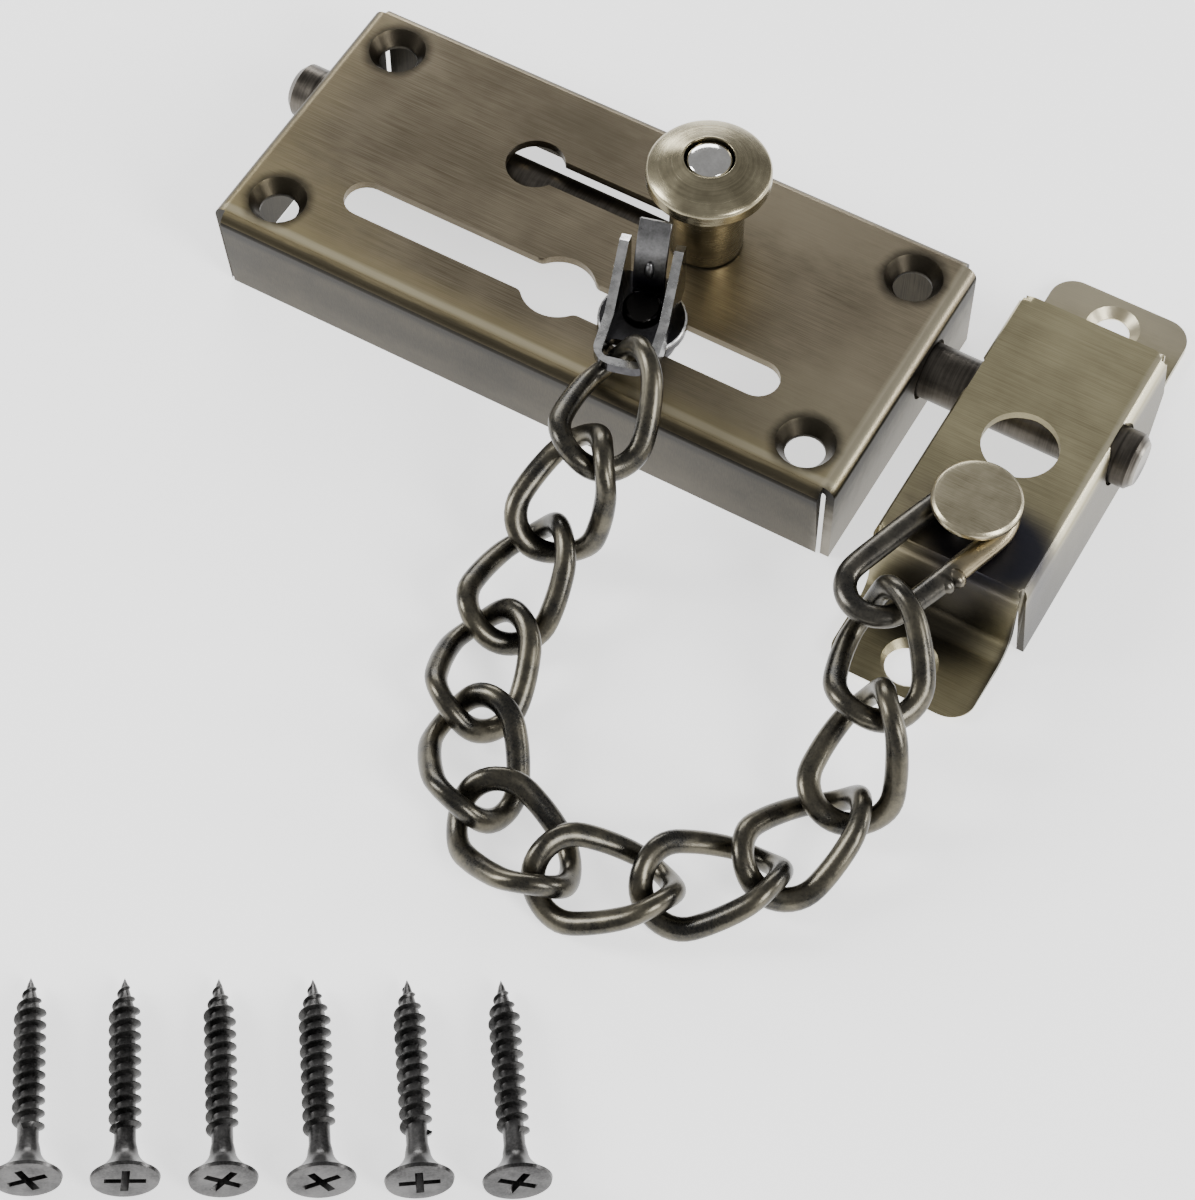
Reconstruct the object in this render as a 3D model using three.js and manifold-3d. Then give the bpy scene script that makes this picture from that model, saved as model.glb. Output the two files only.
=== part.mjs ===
// Door chain guard: a pressed case with a shoot bolt and a chain slider, a strike plate with a
// stud, a twisted-link chain between them, and the six fixing screws.
// Millimetres, +Z up. The case stands on z = 0 with its centre on the Z axis, its length along X.
import * as THREE from 'three';
import { mergeVertices } from 'three/addons/utils/BufferGeometryUtils.js';
import Module from 'manifold-3d';

const wasm = await Module();
wasm.setup();

// ---------------------------------------------------------------- driving dimensions
const RUNNING_GAP = 0.3;
const CASE = { length: 90, width: 41.9, height: 14.2, sheet: 1.2, bend: 1.7, cornerSlit: 0.2 };
const CASE_SCREW = { x: 38.4, y: 14.65, mouth: 3.8, through: 2.55, depth: 2.4 };
const CHAIN_SLOT = { y: -8.95, width: 5.65, halfLength: 31.5, keyhole: 4.85, fillet: 1.3 };
const BOLT_SLOT = { y: 6.95, width: 4.4, pocket: 3.93, pocketX: 12.6 };

const ROD = { radius: 3.7, z: 8.2, left: -49.5, right: 74.5, chamfer: 0.9, hole: 4.15 };
const ROD_SEAT = { z: 9.7, halfLength: 4.9, bore: 2.3, boreFloor: 5.2 };
const KNOB = { stem: 4.78, stemTop: 22.4, head: 7.93, rimLow: 26.6, rimHigh: 28, top: 30.4, seat: 23 };
const BUTTON = { hole: 3.2, radius: 2.86, seat: 24.9, shoulder: 29.8, dome: 0.75, neck: 1.9, neckBore: 2.2 };
const COLLAR = { radius: 3.6, low: 11.7, high: 12.7, footLow: 9.5 };
const LOCK_SPRING = { wire: 0.22, coil: 1.6, turns: 2.5, pitch: 0.62, low: 5.65 };

const KEEPER = { x: 61, y: 0.4, height: 12.4, halfWidth: 10.3, splay: 5, sheet: 1.2, bend: 2.2 };
const KEEPER_LEG = { halfTop: 21.3, halfFoot: 24.6, halfLength: 34.2, halfWidth: 9.6, footBend: 2.6 };
const KEEPER_WALL = { halfLength: 20.4, backCut: 5 };
const KEEPER_HOLE = { y: -0.7, radius: 4.93 };
const KEEPER_SCREW = { y: 29.3, mouth: 3.6, through: 2.35 };
const STUD = { y: -13.8, neck: 2.15, head: 5.6, headLow: 16.2, headHigh: 17.9, washer: 3.6 };

const SLIDER = { x: 12.2, yaw: 15, disc: 5.7, discLow: 14.5, discHigh: 16, neck: 2.5, foot: 4.5, footLow: 11.2 };
const SLIDER_POST = { radius: 1.7, rivet: 2.5, low: 17.6, high: 18.3 };
const BRACKET = { sheet: 1.2, halfWidth: 4.1, back: 5.6, front: -11, low: 16.1, floorEnd: -5.2, corner: 3 };
const BRACKET_WEB = { low: 18.35, high: 19.8 };
const BRACKET_EAR = { top: 24.9, topY: 4.2, backTop: 24.4, rootY: -3.2, rootZ: 19.4 };
const TONGUE = { halfWidth: 2.05, thick: 0.8, y: 3.2, low: 17.65, radius: 14.6, sweep: 40 };

const LINK = { wire: 1.45, length: 19.4, width: 13.4, twist: 45, gap: 0.95 };
const RING = { wire: 1.65, height: 2.9, crown: 4.25, spread: 16, yaw: 18.8, z: 14.15 };
const CHAIN_START = { across: 0.7, forward: 7.8, z: 19.85 };
// One entry per link, from the slider to the ring: heading and roll in degrees, and the height of
// the crossing that the link ends on.
const CHAIN = [
  { heading: -80, roll: 14, endZ: 16.9 },
  { heading: -104, roll: -2, endZ: 7 },
  { heading: -89, roll: 10, endZ: 4.1 },
  { heading: -74, roll: 0, endZ: 3.9 },
  { heading: -55, roll: -2, endZ: 3.9 },
  { heading: -18, roll: 0, endZ: 3.9 },
  { heading: 22, roll: 0, endZ: 3.9 },
  { heading: 39, roll: -4, endZ: 4.1 },
  { heading: 71, roll: -12, endZ: 4.7 },
  { heading: 98, roll: -26, endZ: 11.6 },
  { heading: 115, roll: -28, endZ: 14.2 },
];

const SCREW = { length: 26, head: 3.9, headRim: 0.5, headCone: 3.6, thread: 1.85, tip: 4.5 };
const SCREW_ROW = { count: 6, x: -7.4, y: -117, stepX: 9.4, stepY: 5.3, heading: -55, lift: 0.06 };

// ---------------------------------------------------------------- solids
const radians = THREE.MathUtils.degToRad;

/** Turns a closed three.js geometry into a Manifold solid. */
function solid(geometry) {
  const bare = geometry.index ? geometry.toNonIndexed() : geometry.clone();
  bare.deleteAttribute('normal');
  bare.deleteAttribute('uv');
  const welded = mergeVertices(bare, 1e-4);
  return new wasm.Manifold(new wasm.Mesh({
    numProp: 3,
    vertProperties: new Float32Array(welded.attributes.position.array),
    triVerts: new Uint32Array(welded.index.array),
  }));
}

/** Turns a Manifold solid back into a three.js geometry. */
function geometryOf(body) {
  const { vertProperties, triVerts } = body.getMesh();
  const geometry = new THREE.BufferGeometry();
  geometry.setAttribute('position', new THREE.BufferAttribute(new Float32Array(vertProperties), 3));
  geometry.setIndex(new THREE.BufferAttribute(new Uint32Array(triVerts), 1));
  geometry.computeVertexNormals();
  return geometry;
}

/** A shape in the XY plane, raised from z = low to z = high. */
function plate(shape, low, high, curveSegments = 6) {
  const geometry = new THREE.ExtrudeGeometry(shape, { depth: high - low, bevelEnabled: false, curveSegments });
  return solid(geometry.translate(0, 0, low));
}

/** A shape drawn in (Y, Z), run along X between two values. */
function alongX(shape, from, to, curveSegments = 4) {
  const geometry = new THREE.ExtrudeGeometry(shape, { depth: to - from, bevelEnabled: false, curveSegments });
  const turn = new THREE.Matrix4().makeBasis(
    new THREE.Vector3(0, 1, 0), new THREE.Vector3(0, 0, 1), new THREE.Vector3(1, 0, 0));
  return solid(geometry.applyMatrix4(turn).translate(from, 0, 0));
}

/** A shape drawn in (X, Z), run along Y between two values. */
function alongY(shape, from, to, curveSegments = 4) {
  const geometry = new THREE.ExtrudeGeometry(shape, { depth: to - from, bevelEnabled: false, curveSegments });
  const turn = new THREE.Matrix4().makeBasis(
    new THREE.Vector3(1, 0, 0), new THREE.Vector3(0, 0, 1), new THREE.Vector3(0, -1, 0));
  return solid(geometry.applyMatrix4(turn).translate(0, to, 0));
}

/** A solid of revolution about the Z axis from (radius, z) pairs, lowest point first. */
function turned(profile, sides = 32) {
  const points = profile.map(([radius, z]) => new THREE.Vector2(radius, z));
  const geometry = new THREE.LatheGeometry(points, sides);
  return solid(geometry.rotateX(Math.PI / 2));
}

/** A plain cylinder along X. */
function roundAlongX(radius, from, to, y, z, sides = 32) {
  const geometry = new THREE.CylinderGeometry(radius, radius, to - from, sides);
  return solid(geometry.rotateZ(Math.PI / 2).translate((from + to) / 2, y, z));
}

/** A plain cylinder along Z. */
function post(radius, x, y, low, high, sides = 32) {
  const geometry = new THREE.CylinderGeometry(radius, radius, high - low, sides);
  return solid(geometry.rotateX(Math.PI / 2).translate(x, y, (low + high) / 2));
}

/** A box between two corners. */
function block(x0, y0, z0, x1, y1, z1) {
  const geometry = new THREE.BoxGeometry(x1 - x0, y1 - y0, z1 - z0);
  return solid(geometry.translate((x0 + x1) / 2, (y0 + y1) / 2, (z0 + z1) / 2));
}

/** A closed outline through straight points. */
function outline(points) {
  const shape = new THREE.Shape();
  shape.moveTo(...points[0]);
  points.slice(1).forEach((point) => shape.lineTo(...point));
  shape.closePath();
  return shape;
}

/** A rectangle with round corners. */
function roundRect(x0, y0, x1, y1, radius) {
  const shape = new THREE.Shape();
  shape.moveTo(x0 + radius, y0);
  shape.absarc(x1 - radius, y0 + radius, radius, -Math.PI / 2, 0);
  shape.absarc(x1 - radius, y1 - radius, radius, 0, Math.PI / 2);
  shape.absarc(x0 + radius, y1 - radius, radius, Math.PI / 2, Math.PI);
  shape.absarc(x0 + radius, y0 + radius, radius, Math.PI, 1.5 * Math.PI);
  shape.closePath();
  return shape;
}

/** The section of a folded channel, open below: a flat top between two walls, which may splay. */
function channelSection(halfWidth, height, sheet, bend, splay = 0) {
  const lean = radians(splay);
  const centreX = halfWidth - bend;
  const centreZ = height - bend;
  const inner = bend - sheet;
  const foot = (radius) => {
    const drop = centreZ + radius * Math.sin(lean);
    return centreX + radius * Math.cos(lean) + drop * Math.tan(lean);
  };
  const shape = new THREE.Shape();
  shape.moveTo(-foot(bend), 0);
  shape.absarc(-centreX, centreZ, bend, Math.PI - lean, Math.PI / 2, true);
  shape.absarc(centreX, centreZ, bend, Math.PI / 2, lean, true);
  shape.lineTo(foot(bend), 0);
  shape.lineTo(foot(inner), 0);
  shape.absarc(centreX, centreZ, inner, lean, Math.PI / 2, false);
  shape.absarc(-centreX, centreZ, inner, Math.PI / 2, Math.PI - lean, false);
  shape.lineTo(-foot(inner), 0);
  shape.closePath();
  return shape;
}

// ---------------------------------------------------------------- scene helpers
const finishes = {
  antiqueBrass: { color: 0x7d7259, roughness: 0.38, metalness: 1 },
  oliveBrass: { color: 0x938a68, roughness: 0.36, metalness: 1 },
  darkSteel: { color: 0x55504a, roughness: 0.42, metalness: 1 },
  blackNickel: { color: 0x4a4a4b, roughness: 0.22, metalness: 1 },
  gunmetal: { color: 0x5f5f5d, roughness: 0.3, metalness: 1 },
  brightSteel: { color: 0xb8b8b4, roughness: 0.2, metalness: 1 },
  greyScrew: { color: 0x6c6c6a, roughness: 0.4, metalness: 1 },
};

/** A named mesh of one solid in one finish. */
function piece(name, body, finish) {
  const mesh = new THREE.Mesh(geometryOf(body), new THREE.MeshStandardMaterial(finishes[finish]));
  mesh.name = name;
  return mesh;
}

/** A group at a place, turned about Z, that holds the given pieces. */
function groupAt(x, y, z, turn, ...pieces) {
  const group = new THREE.Group();
  group.position.set(x, y, z);
  group.rotation.z = turn;
  group.add(...pieces);
  return group;
}

// ---------------------------------------------------------------- case
/** The long slot for the chain slider, with a filleted keyhole at its middle. */
function chainSlotShape() {
  const { width, halfLength, keyhole, fillet } = CHAIN_SLOT;
  const half = width / 2;
  const reach = Math.sqrt((keyhole + fillet) ** 2 - (half + fillet) ** 2);
  const lean = Math.atan2(half + fillet, reach);
  const quarter = Math.PI / 2;
  const shape = new THREE.Shape();
  shape.moveTo(reach, -half);
  shape.absarc(halfLength - half, 0, half, -quarter, quarter);
  shape.absarc(reach, half + fillet, fillet, -quarter, lean - Math.PI, true);
  shape.absarc(0, 0, keyhole, lean, Math.PI - lean);
  shape.absarc(-reach, half + fillet, fillet, -lean, -quarter, true);
  shape.absarc(half - halfLength, 0, half, quarter, 3 * quarter);
  shape.absarc(-reach, -half - fillet, fillet, quarter, lean, true);
  shape.absarc(0, 0, keyhole, Math.PI + lean, 2 * Math.PI - lean);
  shape.absarc(reach, -half - fillet, fillet, Math.PI - lean, quarter, true);
  shape.closePath();
  return shape;
}

/** The bolt knob's slot: a narrow run between two round pockets. */
function boltSlotCut(low, high) {
  const { y, width, pocket, pocketX } = BOLT_SLOT;
  const run = block(-pocketX, y - width / 2, low, pocketX, y + width / 2, high);
  return run.add(post(pocket, -pocketX, y, low, high)).add(post(pocket, pocketX, y, low, high));
}

/** The pressed case: a tray open at the back, dimpled for four screws, slotted for bolt and chain. */
function makeCase() {
  const { length, width, height, sheet, bend, cornerSlit } = CASE;
  const { x, y, mouth, through, depth } = CASE_SCREW;
  const endReach = width / 2 - sheet - cornerSlit;
  const sides = alongX(channelSection(width / 2, height, sheet, bend), bend - length / 2, length / 2 - bend);
  const ends = alongY(channelSection(length / 2, height, sheet, bend), -endReach, endReach);
  let body = sides.add(ends);
  const cup = turned([[0, height - depth], [through + sheet, height - depth],
    [mouth + sheet, height - 0.5], [0, height - 0.5]], 24);
  const cone = turned([[0, 0], [through, 0], [through, height - depth + 0.5], [mouth, height],
    [mouth, height + 1], [0, height + 1]], 24);
  [[x, y], [-x, y], [x, -y], [-x, -y]].forEach(([px, py]) => {
    body = body.add(cup.translate(px, py, 0)).subtract(cone.translate(px, py, 0));
  });
  const slot = plate(chainSlotShape(), height - 3, height + 1).translate(0, CHAIN_SLOT.y, 0);
  const rodWay = roundAlongX(ROD.hole, -length, length, BOLT_SLOT.y, ROD.z);
  return body.subtract(slot).subtract(boltSlotCut(height - 3, height + 1)).subtract(rodWay);
}

// ---------------------------------------------------------------- bolt
/** The round bolt, with a seat and a cross bore under the knob. */
function makeRod() {
  const { radius, z, left, right, chamfer } = ROD;
  const profile = [[0, left], [radius - chamfer, left], [radius, left + chamfer],
    [radius, right - chamfer], [radius - chamfer, right], [0, right]];
  const points = profile.map(([r, along]) => new THREE.Vector2(r, along));
  const bar = new THREE.LatheGeometry(points, 32).rotateZ(-Math.PI / 2).translate(0, BOLT_SLOT.y, z);
  const x = BOLT_SLOT.pocketX;
  const { halfLength, bore, boreFloor } = ROD_SEAT;
  const seat = block(x - halfLength, 0, ROD_SEAT.z, x + halfLength, 2 * BOLT_SLOT.y, 2 * z);
  return solid(bar).subtract(seat).subtract(post(bore, x, BOLT_SLOT.y, boreFloor, 2 * z, 20));
}

/** The mushroom knob: a stem on the case, a flared head, and a stepped bore for the button. */
function makeKnob() {
  const { stem, stemTop, head, rimLow, rimHigh, top, seat } = KNOB;
  const foot = CASE.height + RUNNING_GAP;
  return turned([[BUTTON.neckBore, foot], [stem, foot], [stem, stemTop], [stem + 0.5, stemTop + 2],
    [stem + 1.6, rimLow - 0.7], [head - 0.3, rimLow], [head, rimLow + 0.4], [head, rimHigh - 0.4],
    [head - 0.35, rimHigh], [BUTTON.hole + 0.5, top - 0.1], [BUTTON.hole, top - 0.3],
    [BUTTON.hole, seat], [BUTTON.neckBore, seat], [BUTTON.neckBore, foot]], 36);
}

/** The lock button: a domed head, a neck through the slot, a locking collar and a guide foot. */
function makeButton() {
  const { radius, seat, shoulder, dome, neck } = BUTTON;
  const profile = [[0, COLLAR.footLow], [neck, COLLAR.footLow], [neck, COLLAR.low], [COLLAR.radius, COLLAR.low],
    [COLLAR.radius, COLLAR.high], [neck, COLLAR.high], [neck, seat], [radius, seat]];
  const crown = (radius ** 2 + dome ** 2) / (2 * dome);
  const steps = 4;
  for (let i = 0; i <= steps; i += 1) {
    const r = radius * (1 - i / steps);
    profile.push([r, shoulder + dome - crown + Math.sqrt(crown ** 2 - r ** 2)]);
  }
  return turned(profile, 24);
}

/** A coil about the Z axis. */
class Coil extends THREE.Curve {
  constructor(radius, pitch, turns) {
    super();
    Object.assign(this, { radius, pitch, turns });
  }

  getPoint(t, target = new THREE.Vector3()) {
    const angle = 2 * Math.PI * this.turns * t;
    return target.set(this.radius * Math.cos(angle), this.radius * Math.sin(angle), this.pitch * this.turns * t);
  }
}

/** The return spring, drawn at its pressed length. */
function makeSpring() {
  const { wire, coil, turns, pitch } = LOCK_SPRING;
  const section = new THREE.Shape().absarc(0, 0, wire, 0, 2 * Math.PI);
  const extrudePath = new Coil(coil, pitch, turns);
  return solid(new THREE.ExtrudeGeometry(section, { steps: 36, curveSegments: 3, extrudePath }));
}

// ---------------------------------------------------------------- keeper
/** The keeper's strip section in (Y, Z): the top, two legs and two flat ears. */
function stripShape() {
  const { height, sheet, bend } = KEEPER;
  const { halfTop, halfFoot, halfLength, footBend } = KEEPER_LEG;
  const lean = Math.atan2(halfFoot - footBend - halfTop, height - bend - footBend);
  const shape = new THREE.Shape();
  const inner = bend - sheet;
  const centreY = halfTop - bend;
  const centreZ = height - bend;
  const footY = halfFoot;
  const footZ = footBend + sheet;
  shape.moveTo(-halfLength, 0);
  shape.absarc(-footY, footZ, footBend + sheet, 1.5 * Math.PI, 2 * Math.PI - lean);
  shape.absarc(-centreY, centreZ, inner, Math.PI - lean, Math.PI / 2, true);
  shape.absarc(centreY, centreZ, inner, Math.PI / 2, lean, true);
  shape.absarc(footY, footZ, footBend + sheet, Math.PI + lean, 1.5 * Math.PI);
  shape.lineTo(halfLength, 0);
  shape.lineTo(halfLength, sheet);
  shape.absarc(footY, footZ, footBend, 1.5 * Math.PI, Math.PI + lean, true);
  shape.absarc(centreY, centreZ, bend, lean, Math.PI / 2);
  shape.absarc(-centreY, centreZ, bend, Math.PI / 2, Math.PI - lean);
  shape.absarc(-footY, footZ, footBend, 2 * Math.PI - lean, 1.5 * Math.PI, true);
  shape.lineTo(-halfLength, sheet);
  shape.closePath();
  return shape;
}

/** The keeper: one stamped strap with side walls for the bolt and an ear at each end. */
function makeKeeper() {
  const { height, halfWidth, sheet, bend, splay } = KEEPER;
  const { halfLength, backCut } = KEEPER_WALL;
  const { mouth, through } = KEEPER_SCREW;
  const ear = KEEPER_LEG;
  const strip = alongX(stripShape(), -ear.halfWidth, ear.halfWidth)
    .intersect(plate(roundRect(-ear.halfWidth, -ear.halfLength, ear.halfWidth, ear.halfLength, 3.4), -1, 20));
  const corner = outline([[halfLength - backCut, -1], [halfLength + 1, -1], [halfLength + 1, backCut + 1]]);
  const walls = alongY(channelSection(halfWidth, height, sheet, bend, splay), -halfLength, halfLength)
    .subtract(alongX(corner, -2 * halfWidth, 2 * halfWidth));
  let body = strip.add(walls);
  [-1, 1].forEach((side) => {
    const screw = turned([[0, -1], [through, -1], [through, 0.2], [mouth, sheet], [mouth, 2], [0, 2]], 24);
    body = body.subtract(screw.translate(0, side * KEEPER_SCREW.y, 0));
    [-1, 1].forEach((end) => {
      const notch = post(0.55, side * (ear.halfWidth + 0.1), end * (halfLength - 0.1), -1, height + 1, 12);
      body = body.subtract(notch);
    });
  });
  const rodWay = roundAlongX(ROD.hole, -2 * halfWidth, 2 * halfWidth, BOLT_SLOT.y - KEEPER.y, ROD.z);
  const sight = post(KEEPER_HOLE.radius, 0, KEEPER_HOLE.y - KEEPER.y, height - 3, height + 1, 36);
  const rivetHole = post(STUD.neck + 0.1, 0, STUD.y - KEEPER.y, height - 3, height + 1, 20);
  return body.subtract(rodWay).subtract(sight).subtract(rivetHole);
}

/** The keeper's stud: a flat head on a neck, riveted over a washer face below. */
function makeStud() {
  const { neck, head, headLow, headHigh, washer } = STUD;
  const under = KEEPER.height - KEEPER.sheet - 0.1;
  return turned([[0, under - 1.2], [washer - 0.4, under - 1.2], [washer, under - 0.6], [washer, under],
    [neck, under], [neck, headLow], [head, headLow], [head, headHigh - 0.35], [head - 0.35, headHigh],
    [0, headHigh]], 32);
}

// ---------------------------------------------------------------- slider
/** The slider's stud: a disc on the case, a neck in the slot, a foot below and a riveted post. */
function makeSliderStud() {
  const { disc, discLow, discHigh, neck, foot, footLow } = SLIDER;
  const under = CASE.height - CASE.sheet - RUNNING_GAP;
  const { radius, rivet, low, high } = SLIDER_POST;
  return turned([[0, footLow], [foot - 0.3, footLow], [foot, footLow + 0.3], [foot, under], [neck, under],
    [neck, discLow], [disc, discLow], [disc, discHigh - 0.3], [disc - 0.3, discHigh], [radius, discHigh],
    [radius, low], [rivet, low], [rivet, high - 0.3], [rivet - 0.4, high], [0, high]], 32);
}

/** The slider's bracket: a floor, two raked ears and a web across the front that carries the chain. */
function makeBracket() {
  const { sheet, halfWidth, back, front, low, floorEnd, corner } = BRACKET;
  const { top, topY, backTop, rootY, rootZ } = BRACKET_EAR;
  const web = BRACKET_WEB;
  const rise = 1.4;
  const side = outline([[back, low], [back, backTop], [topY, top], [rootY, rootZ], [front, web.high],
    [front, web.low], [floorEnd - 1.2 - rise, web.low], [floorEnd - rise, low]]);
  const inside = halfWidth - sheet;
  const plan = plate(roundRect(-halfWidth, front, halfWidth, 4 * back, corner), low - 1, top + 1);
  const hollow = plate(roundRect(-inside, front + sheet, inside, 4 * back, 1), low + sheet, top + 2);
  const mouth = plate(roundRect(-inside, front + sheet, inside, floorEnd, 1), low - 1, top + 2);
  return alongX(side, -halfWidth, halfWidth).intersect(plan).subtract(hollow).subtract(mouth)
    .subtract(post(SLIDER_POST.radius + RUNNING_GAP, 0, 0, low - 1, top, 20));
}

/** The press tongue between the ears: a leaf that curves back as it rises. */
function makeTongue() {
  const { halfWidth, thick, y, low, radius, sweep } = TONGUE;
  const shape = new THREE.Shape();
  const tip = Math.PI - radians(sweep);
  shape.absarc(y + radius, low, radius + thick / 2, Math.PI, tip, true);
  shape.absarc(y + radius, low, radius - thick / 2, tip, Math.PI, false);
  shape.closePath();
  return alongX(shape, -halfWidth, halfWidth);
}

// ---------------------------------------------------------------- chain
/** The centre line of an oval link along X, twisted evenly about its own length. */
class TwistedOval extends THREE.Curve {
  constructor(halfStraight, crown, twist) {
    super();
    Object.assign(this, { halfStraight, crown, twist });
  }

  getPoint(t, target = new THREE.Vector3()) {
    const { halfStraight, crown, twist } = this;
    const bow = Math.PI * crown;
    const straight = 2 * halfStraight;
    const round = 2 * (straight + bow);
    const along = (t % 1) * round;
    const flip = along < round / 2 ? 1 : -1;
    const rest = along % (round / 2);
    const turn = Math.max(0, rest - straight) / crown;
    const x = flip * (Math.min(rest, straight) - halfStraight + crown * Math.sin(turn));
    const y = flip * -crown * Math.cos(turn);
    const angle = -twist * x / (halfStraight + crown);
    return target.set(x, y * Math.cos(angle), y * Math.sin(angle));
  }
}

const CROWN = LINK.width / 2 - LINK.wire;
const APEX = LINK.length / 2 - LINK.wire;

/** One link of round wire. The tube closes on itself, so it has no ends. */
function makeLink() {
  const line = new TwistedOval(APEX - CROWN, CROWN, radians(LINK.twist));
  return solid(new THREE.TubeGeometry(line, 26, LINK.wire, 8, true));
}

/** The oval ring on the stud, its wire pressed a little flat. */
function makeRing() {
  const { wire, height, crown, spread } = RING;
  const line = new TwistedOval(spread / 2, crown, 0);
  const tube = new THREE.TubeGeometry(line, 32, wire, 8, true);
  tube.scale(1, 1, height / (2 * wire)).rotateZ(Math.PI / 2).translate(0, -spread / 2, 0);
  return solid(tube);
}

/** A unit vector of a heading in the floor plane and a rise. */
function direction(heading, rise) {
  const flat = Math.sqrt(1 - rise ** 2);
  return new THREE.Vector3(flat * Math.cos(radians(heading)), flat * Math.sin(radians(heading)), rise);
}

/** The links' places, walked from the slider's web along the headings. */
function chainPlaces() {
  const { x, y, yaw } = { ...SLIDER, y: CHAIN_SLOT.y };
  const start = new THREE.Vector3(CHAIN_START.across, -CHAIN_START.forward, CHAIN_START.z);
  const crossing = start.applyAxisAngle(new THREE.Vector3(0, 0, 1), radians(yaw)).add(new THREE.Vector3(x, y, 0));
  const hook = LINK.wire + LINK.gap / 2;
  const pitch = 2 * (APEX - hook);
  return CHAIN.map(({ heading, roll, endZ }, index) => {
    const rise = (endZ - crossing.z) / pitch;
    const along = direction(heading, rise);
    if (index === 0) crossing.addScaledVector(along, hook);
    const side = new THREE.Vector3(-Math.sin(radians(heading)), Math.cos(radians(heading)), 0);
    side.applyAxisAngle(along, radians(roll));
    const up = new THREE.Vector3().crossVectors(along, side);
    const centre = crossing.clone().addScaledVector(along, APEX - hook);
    crossing.addScaledVector(along, pitch);
    return new THREE.Matrix4().makeBasis(along, side, up).setPosition(centre);
  });
}

// ---------------------------------------------------------------- screws
/** A countersunk screw along +X from its tip, at the size over its thread. */
function makeScrew() {
  const { length, head, headRim, headCone, thread, tip } = SCREW;
  const cone = length - headRim - headCone;
  const profile = [[0, 0], [thread, tip], [thread, cone], [thread + 0.5, cone + 1.6],
    [head, length - headRim], [head, length], [0, length]];
  const points = profile.map(([radius, along]) => new THREE.Vector2(radius, along));
  return solid(new THREE.LatheGeometry(points, 16).rotateZ(-Math.PI / 2));
}

/** A screw's place in the row, lying on its thread and its head's rim. */
function screwPlace(index) {
  const { x, y, stepX, stepY, heading, lift } = SCREW_ROW;
  const { length, head, headRim, thread, tip } = SCREW;
  const lean = Math.atan2(head - thread, length - headRim - tip);
  const height = thread / Math.cos(lean) - tip * Math.sin(lean) + lift;
  const along = direction(heading, Math.sin(lean));
  const side = new THREE.Vector3(-Math.sin(radians(heading)), Math.cos(radians(heading)), 0);
  const up = new THREE.Vector3().crossVectors(along, side);
  const place = new THREE.Matrix4().makeBasis(along, side, up);
  return place.setPosition(x + index * stepX, y + index * stepY, height);
}

// ---------------------------------------------------------------- assembly
const guard = new THREE.Group();
guard.add(piece('case', makeCase(), 'antiqueBrass'));
guard.add(piece('bolt_rod', makeRod(), 'darkSteel'));
guard.add(groupAt(BOLT_SLOT.pocketX, BOLT_SLOT.y, 0, 0,
  piece('bolt_knob', makeKnob(), 'antiqueBrass'),
  piece('lock_button', makeButton(), 'brightSteel')));
guard.add(groupAt(BOLT_SLOT.pocketX, BOLT_SLOT.y, LOCK_SPRING.low, 0,
  piece('lock_spring', makeSpring(), 'brightSteel')));
guard.add(groupAt(KEEPER.x, KEEPER.y, 0, 0, piece('keeper', makeKeeper(), 'oliveBrass')));
guard.add(groupAt(KEEPER.x, STUD.y, 0, 0, piece('keeper_stud', makeStud(), 'oliveBrass')));
guard.add(groupAt(SLIDER.x, CHAIN_SLOT.y, 0, radians(SLIDER.yaw),
  piece('slider_stud', makeSliderStud(), 'blackNickel'),
  piece('slider_bracket', makeBracket(), 'blackNickel'),
  piece('slider_tongue', makeTongue(), 'blackNickel')));

const link = makeLink();
chainPlaces().forEach((place, index) => {
  const mesh = piece(`chain_link_${String(index + 1).padStart(2, '0')}`, link, 'gunmetal');
  mesh.applyMatrix4(place);
  guard.add(mesh);
});
guard.add(groupAt(KEEPER.x, STUD.y, RING.z, -radians(RING.yaw), piece('stud_ring', makeRing(), 'gunmetal')));

const screw = makeScrew();
for (let index = 0; index < SCREW_ROW.count; index += 1) {
  const mesh = piece(`screw_${index + 1}`, screw, 'greyScrew');
  mesh.applyMatrix4(screwPlace(index));
  guard.add(mesh);
}

export default guard;
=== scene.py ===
"""Looks of a door chain guard: case with bolt and chain slider, strike plate, chain and screws."""

import logging
import math
from dataclasses import dataclass, field
from enum import Enum
from typing import Callable, Sequence, Union

import bmesh
import bpy
from mathutils import Matrix, Vector


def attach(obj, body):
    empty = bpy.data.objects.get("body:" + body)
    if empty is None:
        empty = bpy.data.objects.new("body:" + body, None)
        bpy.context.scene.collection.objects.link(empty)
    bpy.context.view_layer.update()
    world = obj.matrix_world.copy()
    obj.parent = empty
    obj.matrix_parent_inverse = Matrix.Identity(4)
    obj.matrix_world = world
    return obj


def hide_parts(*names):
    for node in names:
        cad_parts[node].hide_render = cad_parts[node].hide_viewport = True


LOG = logging.getLogger("door_chain_guard")
MM = 0.001
Colour = tuple[float, float, float]
Place = tuple[float, float, float]
Profile = Sequence[tuple[float, float]]


# ------------------------------------------------------------------ shader arithmetic
class Grain(Enum):
    """The way the fine marks of a metal surface run."""

    ALONG_X = "along x"
    ALONG_Z = "along z"
    TURNED_Z = "turned about z"
    TURNED_X = "turned about x"
    SATIN = "no direction"


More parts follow.
